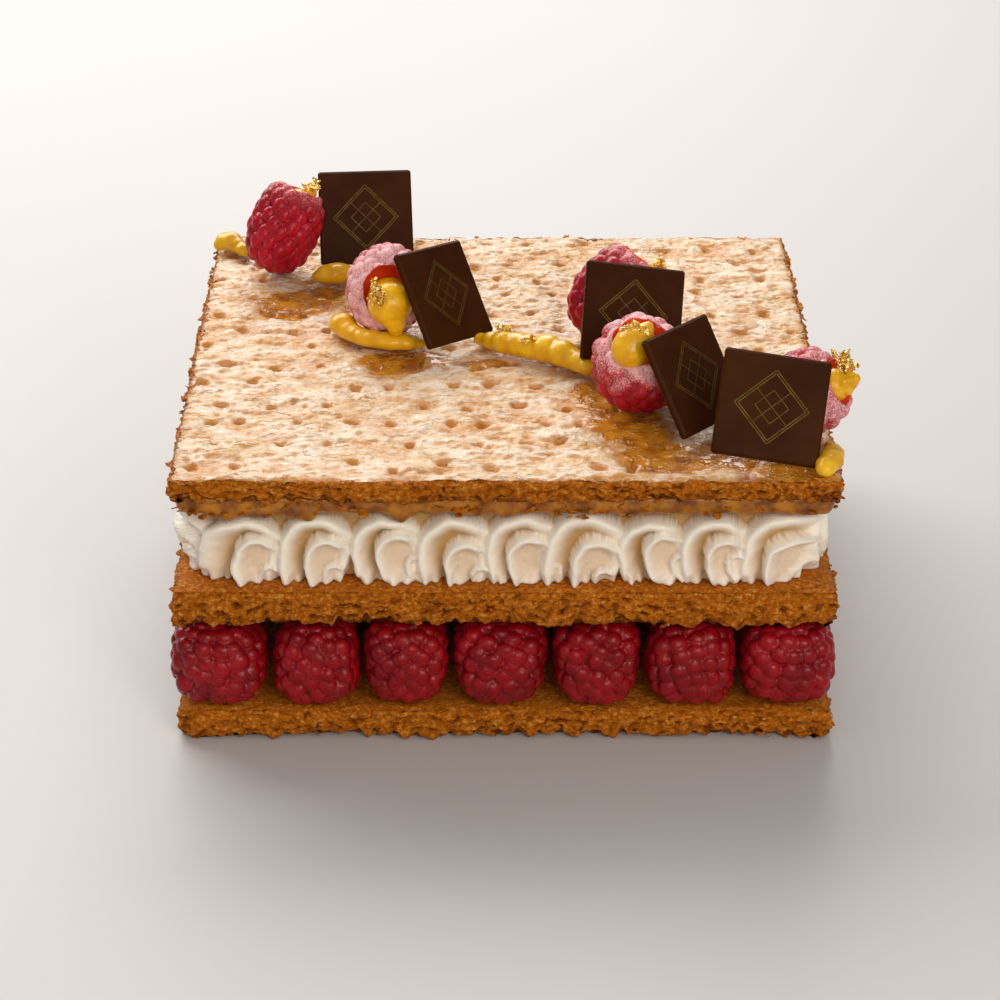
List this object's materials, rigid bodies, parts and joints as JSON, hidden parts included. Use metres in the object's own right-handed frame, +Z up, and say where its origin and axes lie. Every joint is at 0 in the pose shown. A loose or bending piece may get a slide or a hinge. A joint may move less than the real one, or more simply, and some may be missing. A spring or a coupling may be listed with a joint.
{
  "type": "mille feuille",
  "caption": "Square mille feuille of puff pastry, raspberries and piped cream, topped with custard, raspberries, gold leaf and chocolate plaques.",
  "frame": {"origin": "centre of the underside, on the surface that the pastry stands on", "axes": "+X to the right along the front side, +Y from the front side to the back, +Z up"},
  "size_m": [0.1577, 0.1546, 0.093],
  "materials": {
    "pastry": "baked crumb",
    "glazed_pastry": "blistered crust with a sugar glaze",
    "raspberry": "moist",
    "sugared_raspberry": "moist, dusted with icing sugar at the rim",
    "whipped_cream": "soft satin",
    "custard": "smooth and shiny",
    "custard_and_gold_leaf": "shiny custard with crumpled gold leaf",
    "dark_chocolate": "satin, with fine gold lines on the front"
  },
  "bodies": {
    "root": {"bottom_pastry": "pastry", "middle_pastry": "pastry", "top_pastry": "glazed_pastry", "inner_raspberries": "raspberry", "raspberry_front_1": "raspberry", "raspberry_front_2": "raspberry", "raspberry_front_3": "raspberry", "raspberry_front_4": "raspberry", "raspberry_front_5": "raspberry", "raspberry_front_6": "raspberry", "raspberry_front_7": "raspberry", "raspberry_back_1": "raspberry", "raspberry_back_2": "raspberry", "raspberry_back_3": "raspberry", "raspberry_back_4": "raspberry", "raspberry_back_5": "raspberry", "raspberry_back_6": "raspberry", "raspberry_back_7": "raspberry", "raspberry_left_1": "raspberry", "raspberry_left_2": "raspberry", "raspberry_left_3": "raspberry", "raspberry_left_4": "raspberry", "raspberry_left_5": "raspberry", "raspberry_right_1": "raspberry", "raspberry_right_2": "raspberry", "raspberry_right_3": "raspberry", "raspberry_right_4": "raspberry", "raspberry_right_5": "raspberry", "whipped_cream": "whipped_cream", "custard_layer": "custard", "top_raspberry_1": "sugared_raspberry", "top_raspberry_2": "sugared_raspberry", "top_raspberry_3": "sugared_raspberry", "top_raspberry_4": "sugared_raspberry", "top_raspberry_5": "sugared_raspberry", "top_custard_1": "custard_and_gold_leaf", "top_custard_2": "custard_and_gold_leaf", "top_custard_3": "custard_and_gold_leaf", "top_custard_4": "custard_and_gold_leaf", "top_custard_5": "custard_and_gold_leaf", "plaque_1": "dark_chocolate", "plaque_2": "dark_chocolate", "plaque_3": "dark_chocolate", "plaque_4": "dark_chocolate", "plaque_5": "dark_chocolate", "custard_back": "custard", "custard_left": "custard", "custard_middle": "custard", "custard_strip": "custard", "custard_corner": "custard"}
  },
  "joints": []
}
